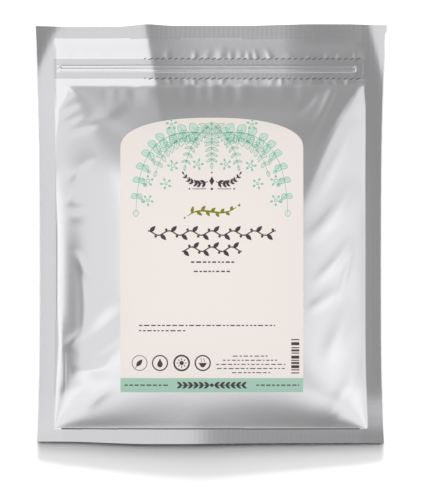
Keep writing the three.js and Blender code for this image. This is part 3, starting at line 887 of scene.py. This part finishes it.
# The dark print, from the ornament down: two sprigs and a lozenge over a rule, then the borders.
rule_y = 32.2
sprig_stem = bend((4, 37.5), (10, 34.5), (17, 36), (21, 42.6))
sprig = spray(sprig_stem, 6, 4.4, 1.9, 0.7, lambda *leaf: [full_leaf(*leaf)])
rule = stroke(straight((middle_x + 4, rule_y), (15, rule_y)), 0.5)
dark = mirrored(sprig + [rule, dot((17, rule_y), 0.6)])
lozenge_width = 3.6 * (1.02 - abs(np.linspace(-1, 1, 9)))
dark += [stroke(straight((middle_x, 41.2), (middle_x, 34.6), 9), lozenge_width),
         dot((middle_x, rule_y), 0.9), dot((middle_x, 44), 0.6)]
borders = [(0.4, 46.0, 12), (-11.2, 21.5, 6)]   # height, half length and count of waves
for row_y, half, count in borders:
    run = np.linspace(-half, half, 10 * count + 1)
    wave = np.pi * run * count / (2 * half)
    dark.append(stroke(np.stack([middle_x + run, row_y + 1.6 * np.cos(wave)], -1), 0.9))
    for k in range(count):
        x = middle_x - half + (k + 0.5) * 2 * half / count
        side = 1 if k % 2 == count // 2 % 2 else -1
        dark.append(full_leaf((x - 2.4, row_y + side * 0.9), side * 0.8, 5.8, 2.9))
        dark.append(dot((x + 1.7, row_y - side * 2.4), 0.95))

# Rows of short dashes: start, end, height of the row, and how thick the dashes are.
dash_rows = [
    (-14, 17, -20.5, 1.1), (-12, 14, -27.2, 1.0), (-51.5, 46.5, -66.1, 0.85), (-51.5, -17.5, -69.9, 0.85),
    (16, 42, -88.2, 0.7), (9, 48, -91.2, 0.7), (4, 54, -94.2, 0.7), (4.5, 53.5, -97.2, 0.7),
    (15.5, 43, -100.2, 0.7),
]
shortest_dash = 0.8
chance = random.Random(11)
for start, end, row_y, thick in dash_rows:
    x = start
    while x < end - shortest_dash:
        reach = min(chance.uniform(1.3, 3.8), end - x)
        dark.append(stroke(straight((x, row_y), (x + reach, row_y), 3), thick))
        x += reach + chance.uniform(1.0, 1.4)

# Four pictograms in rings: a leaf, a drop, the sun and a bowl.
pictogram_y, ring_radius = -93.2, 5.4
leaf_x, drop_x, sun_x, bowl_x = -51.1, -36.4, -20.8, -5.6
for x, width in ((leaf_x, 0.45), (drop_x, 0.9), (sun_x, 1.3), (bowl_x, 1.0)):
    dark.append(ring((x, pictogram_y), ring_radius, width))
dark.append(full_leaf((leaf_x - 2.3, pictogram_y - 2.4), 0.85, 6.6, 3.0))
dark.append(stroke(straight((leaf_x - 3.1, pictogram_y - 3.6), (leaf_x - 1.5, pictogram_y - 1.6), 4), 0.4))
drop_width = [0.15, 0.9, 1.7, 2.6, 3.4, 3.9, 3.9, 3.1, 0.9]
dark.append(stroke(straight((drop_x, -90), (drop_x, -96.4), 9), drop_width))
sun_middle = np.array([sun_x, pictogram_y])
dark.append(dot(sun_middle, 1.6))
for k in range(8):
    ray = np.array([math.cos(k * math.pi / 4), math.sin(k * math.pi / 4)])
    dark.append(stroke(straight(sun_middle + 2.2 * ray, sun_middle + 3.6 * ray, 3), 0.6))
rim_y, bowl_width = -93.4, [5.2, 5.0, 4.6, 4.0, 3.2, 2.4, 1.6]
dark.append(stroke(straight((bowl_x - 2.8, rim_y), (bowl_x + 2.8, rim_y), 4), 0.6))
dark.append(stroke(straight((bowl_x, rim_y), (bowl_x, rim_y - 2.9), 7), bowl_width))
for x in (bowl_x - 1, bowl_x + 1):
    dark.append(stroke(bend((x, -92.4), (x + 0.9, -91.6), (x - 0.9, -90.8), (x, -89.8), 8), 0.4))

# The block of bars, which stands for no number.
bars_left, bars_right, bars_top = 58.2, 64.0, -75.4
y = -100.8
while y < bars_top:
    thick = chance.choice((0.8, 0.8, 1.5, 2.2))
    dark.append(stroke(straight((bars_left, y + thick / 2), (bars_right, y + thick / 2), 5), thick))
    y += thick + chance.choice((0.8, 1.4))

# On the foot band, a sprig in the middle and dashes to both sides.
band_marks = mirrored([full_leaf((3 + 3.9 * k, band_y), side * 0.6, 4.4, 1.7)
                       for k in range(6) for side in (1, -1)])
band_marks += [stroke(straight((-22.5, band_y), (24.4, band_y), 30), 0.6), dot((middle_x, band_y), 1.3)]
for start, end in ((-62, -30), (33, 64)):
    x = start
    while x < end - shortest_dash:
        reach = min(chance.uniform(1.3, 4.0), end - x)
        band_marks.append(stroke(straight((x, band_y), (x + reach, band_y), 3), 0.9))
        x += reach + 1.1

# Flexographic ink: a thin even film with a slight sheen, mottled by the press.
mottle_size = 1.11
pale_mint, mint, sage, olive, near_black = "#C6DDD0", "#8FC2AB", "#A2C3B2", "#7A7A1E", "#3B3538"
prints = [  # name, colour, marks, and height over the label
    ("garland_tint_print", pale_mint, tint, ink_lift - 0.015),
    ("garland_print", mint, garland, ink_lift),
    ("foot_band_print", sage, [foot_band], ink_lift),
    ("swash_print", olive, swash_marks, ink_lift),
    ("dark_print", near_black, dark, ink_lift),
    ("band_sprig_print", near_black, band_marks, ink_lift + 0.03),
]
for name, colour, marks, lift in prints:
    points, faces, count = [], [], 0
    for grid in marks:
        x, y = grid[..., 0], grid[..., 1]
        z = label_height(x, y) + lift
        for height in (z, z - ink_film):
            points.append(np.stack([x, y, height], -1).reshape(-1, 3))
        faces.append(sheet_faces(*grid.shape[:2]) + count)
        count += 2 * x.size
    ink = bpy.data.materials.new("flexo_ink_" + name.removesuffix("_print"))
    ink.use_nodes = True
    tree = ink.node_tree
    shader = tree.nodes["Principled BSDF"]
    place = add(tree, "ShaderNodeTexCoord")
    mottle = add(tree, "ShaderNodeTexNoise",
                 {"Vector": place.outputs["Object"], "Scale": 1000 / mottle_size, "Detail": 3})
    tone = add(tree, "ShaderNodeMapRange", {0: mottle, 3: 0.94, 4: 1.06})
    shade = add(tree, "ShaderNodeMix", {0: 1.0, "A": linear(colour), "B": tone},
                data_type="RGBA", blend_type="MULTIPLY")
    tree.links.new(shade.outputs[2], shader.inputs["Base Color"])
    shader.inputs["Roughness"].default_value = 0.48
    piece = new_piece(name, np.concatenate(points), np.concatenate(faces).tolist())
    piece.data.materials.append(ink)
    banks["label_bank"].light_linking.receiver_collection.objects.link(piece)
    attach(piece, "root")
